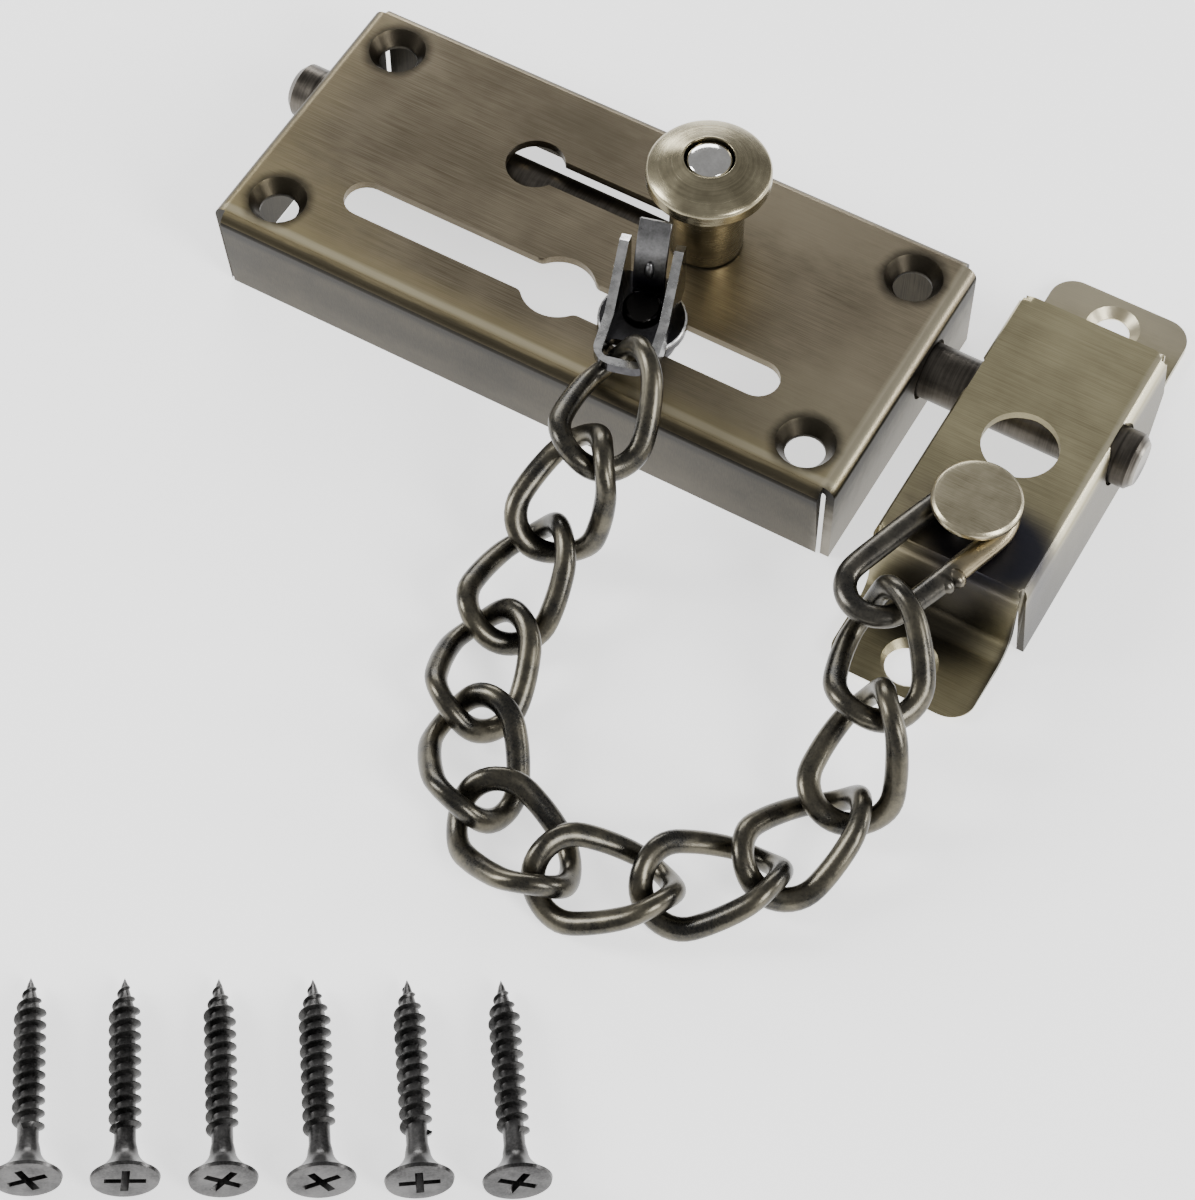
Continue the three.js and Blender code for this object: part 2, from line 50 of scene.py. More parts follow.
class Signal:
    """A node socket that takes part in Python arithmetic."""

    def __init__(self, shader: "Shader", socket: bpy.types.NodeSocket) -> None:
        """Wraps a socket.

        Args:
            shader: The shader that the socket belongs to.
            socket: The output socket.
        """
        self.shader = shader
        self.socket = socket

    def math(self, operation: str, *others: Union["Signal", float]) -> "Signal":
        """Adds one Math node.

        Args:
            operation: The Math node's operation.
            others: The values that follow this one.

        Returns:
            The node's result.
        """
        return self.shader.add("ShaderNodeMath", {"operation": operation}, [self, *others])

    def __add__(self, other: Union["Signal", float]) -> "Signal":
        """self + other."""
        return self.math("ADD", other)

    __radd__ = __add__

    def __sub__(self, other: Union["Signal", float]) -> "Signal":
        """self - other."""
        return self.math("SUBTRACT", other)

    def __rsub__(self, other: float) -> "Signal":
        """other - self."""
        return self.shader.add("ShaderNodeMath", {"operation": "SUBTRACT"}, [other, self])

    def __mul__(self, other: Union["Signal", float]) -> "Signal":
        """self * other."""
        return self.math("MULTIPLY", other)

    __rmul__ = __mul__

    def between(self, low: float, high: float) -> "Signal":
        """A smooth step.

        Args:
            low: The value at which the step is 0.
            high: The value at which the step is 1. It may be below low.

        Returns:
            A signal from 0 to 1.
        """
        settings = {"interpolation_type": "SMOOTHSTEP"}
        if low > high:
            return 1 - self.between(high, low)
        return self.shader.add("ShaderNodeMapRange", settings, [self, low, high, 0.0, 1.0])


class Shader:
    """Builds one material's nodes."""

    def __init__(self, name: str) -> None:
        """Makes an empty material.

        Args:
            name: The material's name.
        """
        self.material = bpy.data.materials.new(name)
        self.material.use_nodes = True
        self.tree = self.material.node_tree
        self.tree.nodes.clear()
        self.point = self.add("ShaderNodeTexCoord", {}, [], "Object")

    def add(
        self, kind: str, settings: dict, inputs: Union[list, dict], output: Union[int, str] = 0,
    ) -> Signal:
        """Adds a node.

        Args:
            kind: The node's type.
            settings: Its properties, set before its sockets.
            inputs: Values or signals of its sockets, in order or by name. None leaves one as it is.
            output: The socket to return.

        Returns:
            The chosen output.
        """
        node = self.tree.nodes.new(kind)
        for key, value in settings.items():
            setattr(node, key, value)
        pairs = inputs.items() if isinstance(inputs, dict) else enumerate(inputs)
        for key, value in pairs:
            if value is None:
                continue
            if isinstance(value, Signal):
                self.tree.links.new(value.socket, node.inputs[key])
            else:
                node.inputs[key].default_value = value
        return Signal(self, node.outputs[output])

    def vector(self, operation: str, *values: Union[Signal, Place]) -> Signal:
        """One Vector Math node on the given values."""
        output = "Value" if operation == "LENGTH" else "Vector"
        return self.add("ShaderNodeVectorMath", {"operation": operation}, list(values), output)

    def local(self, centre: Place, reach: Place) -> Signal:
        """The surface point counted from a centre, in reaches.

        Args:
            centre: The centre, in millimetres.
            reach: The length along each axis that counts as 1, in millimetres.

        Returns:
            A vector signal.
        """
        moved = self.vector("SUBTRACT", self.point, tuple(c * MM for c in centre))
        return self.vector("DIVIDE", moved, tuple(r * MM for r in reach))

    def noise(self, place: Signal, detail: float = 2.0, rough: float = 0.5) -> Signal:
        """Noise from 0 to 1 at a place, one cell to each unit."""
        inputs = {"Vector": place, "Scale": 1.0, "Detail": detail, "Roughness": rough}
        return self.add("ShaderNodeTexNoise", {}, inputs, 0)

    def mix(
        self, mask: Union[Signal, float], under: Union[Signal, Colour], over: Union[Signal, Colour],
    ) -> Signal:
        """Lays one colour over another.

        Args:
            mask: How much of the upper colour shows, from 0 to 1.
            under: The lower colour.
            over: The upper colour.

        Returns:
            A colour signal.
        """
        sides = [c if isinstance(c, Signal) else (*c, 1.0) for c in (under, over)]
        return self.add("ShaderNodeMix", {"data_type": "RGBA"}, {0: mask, 6: sides[0], 7: sides[1]}, 2)

    def finish(self, **inputs: Union[Signal, float, tuple]) -> bpy.types.Material:
        """Adds the surface shader and the output.

        Args:
            inputs: The shader's sockets, with _ for a space in a name.

        Returns:
            The material.
        """
        named = {key.replace("_", " "): value for key, value in inputs.items()}
        surface = self.add("ShaderNodeBsdfPrincipled", {}, named)
        self.add_output(surface)
        return self.material

    def add_output(self, surface: Signal) -> None:
        """Links a surface to the material's output."""
        node = self.tree.nodes.new("ShaderNodeOutputMaterial")
        self.tree.links.new(surface.socket, node.inputs["Surface"])


@dataclass(frozen=True)
class Patch:
    """A soft-edged stain, worn place, tint, painted highlight or painted shade on a metal, shaped as an
    ellipsoid or a band.

    Attributes:
        centre: Its centre, in millimetres.
        reach: Its half lengths, in millimetres.
        colour: Its colour.
        strength: How much it covers, from 0 to 1.
        core: The share of its reach that it covers fully.
        ragged: How far noise moves its edge, as a share of its reach.
        rough: The roughness it adds.
        grain: The size of the noise at its edge, in millimetres.
    """

    centre: Place
    reach: Place
    colour: Colour
    strength: float = 1.0
    core: float = 0.4
    ragged: float = 0.3
    rough: float = 0.0
    grain: Place = (4.0, 2.0, 2.0)


ENDLESS = 900.0


@dataclass(frozen=True)
class Metal:
    """A metal with fine directed marks, cloudy colour, stains, painted highlights and painted shade.

    Attributes:
        name: The material's name.
        low: Its darker colour.
        high: Its lighter colour.
        grain: The way its marks run.
        centre: The axis of turned marks, in millimetres.
        roughness: Its mean roughness.
        swing: How much its roughness varies.
        mark: The width and length of its marks, in millimetres.
        contrast: How strongly the marks show in its colour.
        bump: The depth of its marks, in millimetres.
        cloud: The size of its colour clouds, in millimetres.
        patches: Stains, tints, painted highlights and painted shade laid on it in order.
        coat: The weight of a clear coat.
    """

    name: str
    low: Colour
    high: Colour
    grain: Grain = Grain.SATIN
    centre: Place = (0.0, 0.0, 0.0)
    roughness: float = 0.35
    swing: float = 0.12
    mark: tuple[float, float] = (0.09, 7.0)
    contrast: float = 0.35
    bump: float = 0.02
    cloud: float = 9.0
    patches: tuple[Patch, ...] = ()
    coat: float = 0.0

    def marks(self, shader: Shader) -> Signal:
        """The fine marks.

        Args:
            shader: The shader to build in.

        Returns:
            A signal around 0.5.
        """
        width, length = self.mark
        turned = {Grain.TURNED_Z: (1.0, 1.0, 0.0), Grain.TURNED_X: (0.0, 1.0, 1.0)}
        if self.grain in turned:
            flat = shader.vector("MULTIPLY", shader.local(self.centre, (width,) * 3), turned[self.grain])
            around = shader.vector("LENGTH", flat)
            split = shader.add("ShaderNodeSeparateXYZ", {}, [shader.local(self.centre, (width,) * 3)],
                               "Z" if self.grain is Grain.TURNED_Z else "X")
            drift = shader.noise(shader.local(self.centre, (3.0, 3.0, 3.0)), 1.0)
            place = shader.add("ShaderNodeCombineXYZ", {}, [around, split, drift * 1.5])
            return shader.noise(place, 3.0, 0.6)
        reach = {
            Grain.ALONG_X: (length, width, width),
            Grain.ALONG_Z: (width, width, length),
            Grain.SATIN: (width * 3, width * 3, width * 3),
        }[self.grain]
        return shader.noise(shader.local(self.centre, reach), 3.0, 0.6)

    def material(self) -> bpy.types.Material:
        """Builds the material.

        Returns:
            The material.
        """
        shader = Shader(self.name)
        marks = self.marks(shader)
        cloud = shader.noise(shader.local(self.centre, (self.cloud,) * 3), 4.0, 0.6)
        tone = (cloud.between(0.32, 0.68) * (1 - self.contrast)) + (marks.between(0.3, 0.7) * self.contrast)
        colour = shader.mix(tone, self.low, self.high)
        roughness = self.roughness + (cloud - 0.5) * self.swing + (marks - 0.5) * self.swing
        for patch in self.patches:
            # Each patch is a stain, tint, painted highlight or painted shade, faded out from its core with a
            # ragged edge.
            distance = shader.vector("LENGTH", shader.local(patch.centre, patch.reach))
            edge = shader.noise(shader.local(patch.centre, patch.grain), 3.0, 0.6)
            ragged_reach = distance + (edge - 0.5) * (2 * patch.ragged)
            mask = ragged_reach.between(1.0, patch.core) * patch.strength
            colour = shader.mix(mask, colour, patch.colour)
            roughness = roughness + mask * patch.rough
        relief = {"Strength": 1.0, "Distance": self.bump * MM, "Height": marks}
        bump = shader.add("ShaderNodeBump", {}, relief)
        return shader.finish(
            Base_Color=colour, Roughness=roughness, Metallic=1.0, Normal=bump, Coat_Weight=self.coat,
            Coat_Roughness=0.2,
        )


# ------------------------------------------------------------------ mesh tools
def span(count: int) -> list[float]:
    """Evenly spaced numbers from 0 to 1, both included."""
    return [i / (count - 1) for i in range(count)]


def add_piece(
    name: str, mesh: bmesh.types.BMesh, place: Matrix = Matrix.Identity(4), smooth: float = 32.0,
) -> bpy.types.Object:
    """Turns a bmesh in millimetres into an object in metres with its place in its mesh.

    Args:
        name: The object's name.
        mesh: The shape, freed here.
        place: Where it goes, in millimetres.
        smooth: Edges that turn more than this many degrees stay sharp.

    Returns:
        The object.
    """
    bmesh.ops.transform(mesh, matrix=Matrix.Scale(MM, 4) @ place, verts=mesh.verts)
    data = bpy.data.meshes.new(name)
    mesh.to_mesh(data)
    mesh.free()
    data.shade_smooth()
    data.set_sharp_from_angle(angle=math.radians(smooth))
    piece = bpy.data.objects.new(name, data)
    bpy.context.scene.collection.objects.link(piece)
    return piece


def even_normals(piece: bpy.types.Object) -> bpy.types.Object:
    """Keeps a piece's flat faces flat where rounded edges meet them."""
    modifier = piece.modifiers.new("even", "WEIGHTED_NORMAL")
    modifier.keep_sharp = True
    modifier.weight = 80
    return piece


def dress(
    piece: bpy.types.Object,
    materials: Union[bpy.types.Material, Sequence[bpy.types.Material]],
    body: str,
    slot: str,
    *nodes: str,
) -> bpy.types.Object:
    """Gives a piece its materials and body, and hides the nodes it stands for.

    Args:
        piece: The finished piece.
        materials: Its material, or several in the order of its faces' numbers.
        body: The body it rides on.
        slot: The record's material slot; not used.
        nodes: The CAD nodes it replaces.

    Returns:
        The piece.
    """
    for material in materials if isinstance(materials, (list, tuple)) else [materials]:
        piece.data.materials.append(material)
    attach(piece, body)
    if nodes:
        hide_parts(*nodes)
    LOG.info("%s rides on %s", piece.name, body)
    return piece


def soften(mesh: bmesh.types.BMesh, width: float, segments: int = 2, above: float = 32.0) -> None:
    """Rounds a mesh's sharp edges.

    Args:
        mesh: The mesh to change.
        width: The bevel's width.
        segments: Its segments.
        above: Only edges that turn more than this many degrees are rounded.
    """
    limit = math.radians(above)
    sharp = [e for e in mesh.edges if len(e.link_faces) == 2 and e.calc_face_angle() > limit]
    bmesh.ops.bevel(mesh, geom=sharp, offset=width, offset_type="OFFSET", affect="EDGES", segments=segments,
                    profile=0.5, material=-1, clamp_overlap=True)


def number_faces(mesh: bmesh.types.BMesh, number: int, chosen: Callable[[bmesh.types.BMFace], bool]) -> None:
    """Gives the chosen faces another material.

    Args:
        mesh: The mesh to change.
        number: The material's number.
        chosen: Says which faces take it.
    """
    for face in mesh.faces:
        if chosen(face):
            face.material_index = number


def tidy(mesh: bmesh.types.BMesh, distance: float = 1e-4) -> bmesh.types.BMesh:
    """Closes seams and turns all faces outwards."""
    bmesh.ops.remove_doubles(mesh, verts=mesh.verts, dist=distance)
    bmesh.ops.recalc_face_normals(mesh, faces=mesh.faces)
    return mesh


def from_node(node: str) -> bmesh.types.BMesh:
    """A merged copy of a CAD node's mesh.

    Args:
        node: The CAD node.

    Returns:
        Its shape in millimetres, with flat faces joined.
    """
    mesh = bmesh.new()
    mesh.from_mesh(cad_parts[node].data)
    bmesh.ops.scale(mesh, vec=(1 / MM,) * 3, verts=mesh.verts)
    bmesh.ops.remove_doubles(mesh, verts=mesh.verts, dist=2e-3)
    bmesh.ops.dissolve_limit(mesh, angle_limit=math.radians(0.6), verts=mesh.verts, edges=mesh.edges,
                             use_dissolve_boundaries=False)
    return mesh


def lathe(
    profile: Profile, steps: int = 72, soft: float = 0.0, segments: int = 2, above: float = 24.0,
) -> bmesh.types.BMesh:
    """Spins a profile about Z.

    Args:
        profile: Radius and height pairs, from one end of the axis to the other or a closed loop.
        steps: Faces around.
        soft: The rounding of its corners, or 0 for none.
        segments: Segments of that rounding.
        above: Only corners that turn more than this many degrees are rounded.

    Returns:
        The solid.
    """
    mesh = bmesh.new()
    points = [mesh.verts.new((radius, 0.0, height)) for radius, height in profile]
    closed = profile[0][0] > 0
    pairs = list(zip(points, points[1:])) + ([(points[-1], points[0])] if closed else [])
    edges = [mesh.edges.new(pair) for pair in pairs]
    bmesh.ops.spin(mesh, geom=points + edges, cent=(0, 0, 0), axis=(0, 0, 1), angle=math.tau, steps=steps,
                   use_merge=True, use_normal_flip=False)
    tidy(mesh)
    if soft > 0:
        soften(mesh, soft, segments, above)
    return mesh


# ------------------------------------------------------------------ finishes, painted highlights and painted shade
# Dark bronze painted as shade along the case's back and left bends.
BRONZE_PAINTED_SHADE: Colour = (0.05, 0.042, 0.03)
BRONZE_GOLD: Colour = (0.36, 0.30, 0.165)
# Cream painted as a highlight along the bends of the case and the strike plate.
CREAM_HIGHLIGHT: Colour = (0.80, 0.74, 0.55)
# Near black painted as shade in bends, a corner slit, grooves, a crease, hollows and under parts.
PAINTED_SHADE_BLACK: Colour = (0.012, 0.011, 0.010)
HEAT_BLUE: Colour = (0.028, 0.030, 0.045)


@dataclass
class Case:
    """The pressed case with its two slots and four dished screw holes.

    Attributes:
        half_length: Half its length, in millimetres.
        half_width: Half its width.
        height: Its height.
        screw_x: The place of its screw holes along its length.
        screw_y: Their place across it.
        edge: The rounding of its sheared edges.
    """

    half_length: float = 45.0
    half_width: float = 20.95
    height: float = 14.2
    screw_x: float = 38.4
    screw_y: float = 14.65
    edge: float = 0.13

    def top_finish_with_painted_light(self) -> bpy.types.Material:
        """Brushed antique bronze, golden near the rims, with painted highlights along the front and right
        bends and painted shade along every bend, in the front right corner slit and round the dished holes.
        """
        x, y, z = self.half_length, self.half_width, self.height
        # The dark rings round the dished holes are painted shade.
        dish_shading = tuple(
            Patch((side * self.screw_x, end * self.screw_y, z - 0.4), (5.3, 5.3, 3.6), (0.03, 0.026, 0.02),
                  0.9, 0.66, 0.12)
            for side in (-1, 1) for end in (-1, 1)
        )
        return Metal(
            "bronze_case_top", (0.125, 0.104, 0.070), (0.29, 0.248, 0.175), Grain.ALONG_X, roughness=0.36,
            contrast=0.5, mark=(0.11, 9.0), bump=0.012, cloud=26.0,
            patches=(
                Patch((-x + 2, -y + 4, z), (30, 16, 9), BRONZE_GOLD, 0.55, 0.0, 0.3),
                Patch((-x, 0, z), (9, ENDLESS, ENDLESS), BRONZE_GOLD, 0.3, 0.0, 0.3),
                Patch((x * 0.55, y - 4, z), (34, 12, 9), (0.36, 0.31, 0.22), 0.7, 0.1, 0.3),
                Patch((-8, y - 5, z), (26, 9, 9), (0.10, 0.083, 0.056), 0.6, 0.0, 0.3),
                Patch((x - 6, -4, z), (13, 16, 9), (0.36, 0.31, 0.22), 0.55, 0.0, 0.3),
                Patch((x - 4, -y + 6, z), (26, 17, 9), (0.36, 0.32, 0.22), 0.6, 0.0, 0.3),
                # Painted highlights: a gold band and a cream line along the front bend, and a cream line
                # along the right bend.
                Patch((0, -y + 1.5, z), (ENDLESS, 5.0, 4.0), BRONZE_GOLD, 0.65, 0.1, 0.3, grain=(14, 2, 2)),
                Patch((0, -y + 2.2, z), (ENDLESS, 0.9, 1.4), CREAM_HIGHLIGHT, 0.35, 0.2, 0.3, grain=(14, 0.6, 1)),
                Patch((x - 1.4, 0, z), (1.1, ENDLESS, 1.0), CREAM_HIGHLIGHT, 0.4, 0.1, 0.3, grain=(0.6, 14, 1)),
                # Painted shade: dark bands along the four bends and black in the front right corner slit.
                Patch((0, -y + 0.4, z - 0.6), (ENDLESS, 1.3, 1.3), PAINTED_SHADE_BLACK,
                      0.85, 0.35, 0.3, 0.1, (9, 1, 1)),
                Patch((0, y - 0.2, z - 0.5), (ENDLESS, 1.3, 1.5), BRONZE_PAINTED_SHADE,
                      0.85, 0.3, 0.3, 0.1, (9, 1, 1)),
                Patch((-x + 0.2, 0, z - 0.5), (1.3, ENDLESS, 1.5), BRONZE_PAINTED_SHADE,
                      0.85, 0.3, 0.3, 0.1, (1, 9, 1)),
                Patch((x, 0, z - 1.7), (1.1, ENDLESS, 1.2), PAINTED_SHADE_BLACK, 0.8, 0.3, 0.3, 0.1, (1, 9, 1)),
                Patch((x, -y, z - 1), (3.2, 3.2, 3.4), PAINTED_SHADE_BLACK, 0.9, 0.4, 0.3, 0.1, (2, 2, 2)),
                *dish_shading,
            ),
        ).material()

    def wall_finish_and_shade(self) -> bpy.types.Material:
        """The walls' bronze, brushed upright: a much darker copy of the top's bronze as painted shade, with
        painted shade just under the bends, lighter towards the foot of the front wall and paler at the end.
        """
        x, y, z = self.half_length, self.half_width, self.height
        # The base colours are a darker copy of the top's bronze, painted shade on the upright faces.
        return Metal(
            "bronze_case_walls_shaded", (0.020, 0.0175, 0.013), (0.066, 0.058, 0.043), Grain.ALONG_Z, roughness=0.42,
            contrast=0.45, mark=(0.11, 7.0), bump=0.012, cloud=16.0,
            patches=(
                Patch((0, -y, 0), (ENDLESS, 3, 7), (0.12, 0.105, 0.078), 0.4, 0.0, 0.3),
                Patch((x, 0, 2), (3, ENDLESS, 12), (0.26, 0.24, 0.20), 0.8, 0.1, 0.3),
                # Painted shade just under the right and front bends.
                Patch((x, 0, z - 1.5), (3, ENDLESS, 3.4), PAINTED_SHADE_BLACK, 0.7, 0.3, 0.3, grain=(1, 9, 1)),
                Patch((0, -y, z - 1.2), (ENDLESS, 3, 2.6), PAINTED_SHADE_BLACK, 0.75, 0.3, 0.3, grain=(9, 1, 1)),
            ),
        ).material()

    def is_wall(self, face: bmesh.types.BMFace) -> bool:
        """Whether a face stands upright below the bends."""
        return abs(face.normal.z) < 0.42 and face.calc_center_median().z < self.height - 1

    def build(self) -> None:
        """Builds and dresses the case."""
        mesh = from_node("case")
        soften(mesh, self.edge)
        mesh.normal_update()
        number_faces(mesh, 1, self.is_wall)
        shell = even_normals(add_piece("case_shell", mesh))
        dress(shell, [self.top_finish_with_painted_light(), self.wall_finish_and_shade()], "root", "bronze_case", "case")


@dataclass
class Bolt:
    """The round bolt, its turned knob and the push button in it.

    Attributes:
        rod_z: The height of its axis.
        left: Its left end.
        right: Its right end.
        across: Its place across the case.
        knob_x: The knob's place along the case.
        steps: Faces around each turned piece.
    """

    rod_z: float = 8.2
    left: float = -49.5
    right: float = 74.5
    across: float = 6.95
    knob_x: float = 12.6
    steps: int = 96

    def build_rod(self) -> None:
        """Builds the rod from its CAD node, with its seat and bore under the knob."""
        mesh = from_node("bolt_rod")
        soften(mesh, 0.06, 2, 30.0)
        rod = even_normals(add_piece("bolt_bar", mesh, smooth=20.0))
        # Black rings painted as the shade of grooves that the mesh lacks.
        middle, black = (self.across, self.rod_z), PAINTED_SHADE_BLACK
        grooves = (self.left + 3.5, self.right - 2.9)
        groove_shade = tuple(Patch((x, *middle), (0.3, 6, 6), black, 0.8, 0.4, 0.1) for x in grooves)
        finish = Metal("turned_steel", (0.045, 0.040, 0.034), (0.15, 0.135, 0.115), Grain.TURNED_X,
                       (0, *middle), 0.36, 0.12, (0.2, 1.0), 0.3, 0.012, 7.0,
                       patches=(
                           Patch((self.right, *middle), (0.5, 6, 6), (0.34, 0.32, 0.28), 0.8, 0.5, 0.2),
                           # Painted shade under the rod's right end.
                           Patch((self.right - 0.5, self.across, self.rod_z - 2.4), (3.4, 4, 2.4), black,
                                 0.75, 0.3, 0.2),
                           *groove_shade,
                       ))
        dress(rod, finish.material(), "bolt", "dark_steel", "bolt_rod")

    def knob_profile(self) -> list[tuple[float, float]]:
        """The knob's radius and height, round its wall from its foot to its bore."""
        stem, head = 4.78, 7.93
        turns = [t * math.pi / 2 for t in span(9)]
        flare = [(stem + (head - stem) * (1 - math.cos(t)) ** 0.9, 23.0 + 3.5 * math.sin(t)) for t in turns]
        crown = [(head - 0.2, 28.4), (head - 0.7, 28.75), (head - 2.2, 29.4), (head - 3.7, 29.95),
                 (3.42, 30.35)]
        return [(2.2, 14.5), (stem, 14.5), (stem, 22.4), *flare, (head, 26.8), (head, 28.0), *crown,
                (3.2, 30.35), (3.2, 23.0), (2.2, 23.0)]

    def build_knob(self) -> None:
        """Builds the knob and its button."""
        place = Matrix.Translation((self.knob_x, self.across, 0))
        knob = add_piece("knob_head", lathe(self.knob_profile(), self.steps, 0.1, 3, 26.0), place)
        finish = Metal("turned_bronze", (0.20, 0.175, 0.115), (0.50, 0.45, 0.31), Grain.TURNED_Z,
                       (self.knob_x, self.across, 0), 0.26, 0.10, (0.2, 1.0), 0.25, 0.008, 7.0,
                       patches=(
                           # Painted shade on the stem under the head.
                           Patch((self.knob_x, self.across, 15), (7, 7, 9), (0.05, 0.042, 0.03), 0.45, 0.3),
                       ))
        dress(knob, finish.material(), "bolt", "bronze_knob", "bolt_knob")
        dome = [(2.86 * math.cos(t * math.pi / 2), 29.8 + 0.75 * math.sin(t * math.pi / 2)) for t in span(9)]
        neck = [(0.0, 9.5), (1.9, 9.5), (1.9, 11.7), (3.6, 11.7), (3.6, 12.7), (1.9, 12.7), (1.9, 24.9)]
        button = lathe([*neck, (2.6, 24.9), (2.86, 25.2), *dome], self.steps, 0.06)
        silver = Metal("polished_silver", (0.60, 0.59, 0.57), (0.78, 0.77, 0.75), Grain.SATIN,
                       (self.knob_x, self.across, 0), 0.1, 0.08, (0.12, 1.0), 0.3, 0.003, 3.0)
        dress(add_piece("button_dome", button, place), silver.material(), "lock_button", "silver_button",
              "lock_button")


def sweep_oval(
    half_straight: float, crown: float, wire: float, around: int = 20, arc: int = 22, run: int = 16,
) -> bmesh.types.BMesh:
    """A closed oval of round wire in the XY plane.

    Args:
        half_straight: Half the length of its straight sides.
        crown: The radius of its ends, at the wire's middle.
        wire: The wire's radius.
        around: Faces around the wire.
        arc: Faces along each end.
        run: Faces along each side.

    Returns:
        The oval.
    """
    mesh = bmesh.new()
    upright = Matrix.Translation((-half_straight, -crown, 0)) @ Matrix.Rotation(math.pi / 2, 4, "Y")
    made = bmesh.ops.create_circle(mesh, cap_ends=False, radius=wire, segments=around, matrix=upright)
    ring = [*made["verts"], *{e for v in made["verts"] for e in v.link_edges}]
    for side in (1, -1):
        for _ in range(run):
            edges = [g for g in ring if isinstance(g, bmesh.types.BMEdge)]
            ring = bmesh.ops.extrude_edge_only(mesh, edges=edges)["geom"]
            verts = [g for g in ring if isinstance(g, bmesh.types.BMVert)]
            bmesh.ops.translate(mesh, verts=verts, vec=(side * 2 * half_straight / run, 0, 0))
        edge = [g for g in ring if not isinstance(g, bmesh.types.BMFace)]
        turned = bmesh.ops.spin(mesh, geom=edge, cent=(side * half_straight, 0, 0), axis=(0, 0, 1),
                                angle=math.pi, steps=arc, use_merge=False)
        ring = turned["geom_last"]
    return tidy(mesh)


@dataclass
class ChainStep:
    """One link's place in the chain.

    Attributes:
        heading: The way it runs, in degrees from +X.
        roll: Its turn about its own length, in degrees.
        end_z: The height of the crossing it ends on.
    """

    heading: float
    roll: float
    end_z: float


@dataclass
class Chain:
    """The eleven twisted links.

    Attributes:
        wire: The wire's radius.
        length: A link's length over all.
        width: A link's width over all.
        twist: Half a link's twist, in degrees.
        gap: The play between two links.
        start: The first crossing.
        steps: The links from the slider to the ring.
    """

    wire: float = 1.45
    length: float = 19.4
    width: float = 13.4
    twist: float = 45.0
    gap: float = 0.95
    start: Vector = field(default_factory=lambda: Matrix.Translation((12.2, -8.95, 0))
                          @ Matrix.Rotation(math.radians(15), 4, "Z") @ Vector((0.7, -7.8, 19.85)))
    steps: tuple[ChainStep, ...] = (
        ChainStep(-80, 14, 16.9),
        ChainStep(-104, -2, 7),
        ChainStep(-89, 10, 4.1),
        ChainStep(-74, 0, 3.9),
        ChainStep(-55, -2, 3.9),
        ChainStep(-18, 0, 3.9),
        ChainStep(22, 0, 3.9),
        ChainStep(39, -4, 4.1),
        ChainStep(71, -12, 4.7),
        ChainStep(98, -26, 11.6),
        ChainStep(115, -28, 14.2),
    )

    def link(self) -> bmesh.types.BMesh:
        """One link, lying along X at the origin."""
        apex, crown = self.length / 2 - self.wire, self.width / 2 - self.wire
        mesh = sweep_oval(apex - crown, crown, self.wire)
        for vert in mesh.verts:
            turn = Matrix.Rotation(-math.radians(self.twist) * vert.co.x / apex, 3, "X")
            vert.co = turn @ vert.co
        return mesh

    def places(self) -> list[Matrix]:
        """Each link's place, walked along the chain from crossing to crossing."""
        apex, hook = self.length / 2 - self.wire, self.wire + self.gap / 2
        pitch = 2 * (apex - hook)
        crossing = self.start.copy()
        found = []
        for index, step in enumerate(self.steps):
            rise = (step.end_z - crossing.z) / pitch
            flat = math.sqrt(1 - rise * rise)
            heading = math.radians(step.heading)
            along = Vector((flat * math.cos(heading), flat * math.sin(heading), rise))
            if index == 0:
                crossing += along * hook
            level = Vector((-math.sin(heading), math.cos(heading), 0))
            side = Matrix.Rotation(math.radians(step.roll), 3, along) @ level
            up = along.cross(side)
            centre = crossing + along * (apex - hook)
            found.append(Matrix.Translation(centre) @ Matrix((along, side, up)).transposed().to_4x4())
            crossing = crossing + along * pitch
        return found

    def build(self) -> None:
        """Builds and dresses the links."""
        finish = Metal("gunmetal", (0.034, 0.034, 0.034), (0.14, 0.127, 0.095), Grain.SATIN, (0, 0, 0),
                       0.3, 0.16, (0.10, 1.0), 0.25, 0.012, 4.5).material()
        for index, place in enumerate(self.places(), 1):
            name = f"{index:02d}"
            link = add_piece(f"link_{name}_wire", self.link(), place, 60.0)
            dress(link, finish, f"link_{name}", "gunmetal", f"chain_link_{name}")


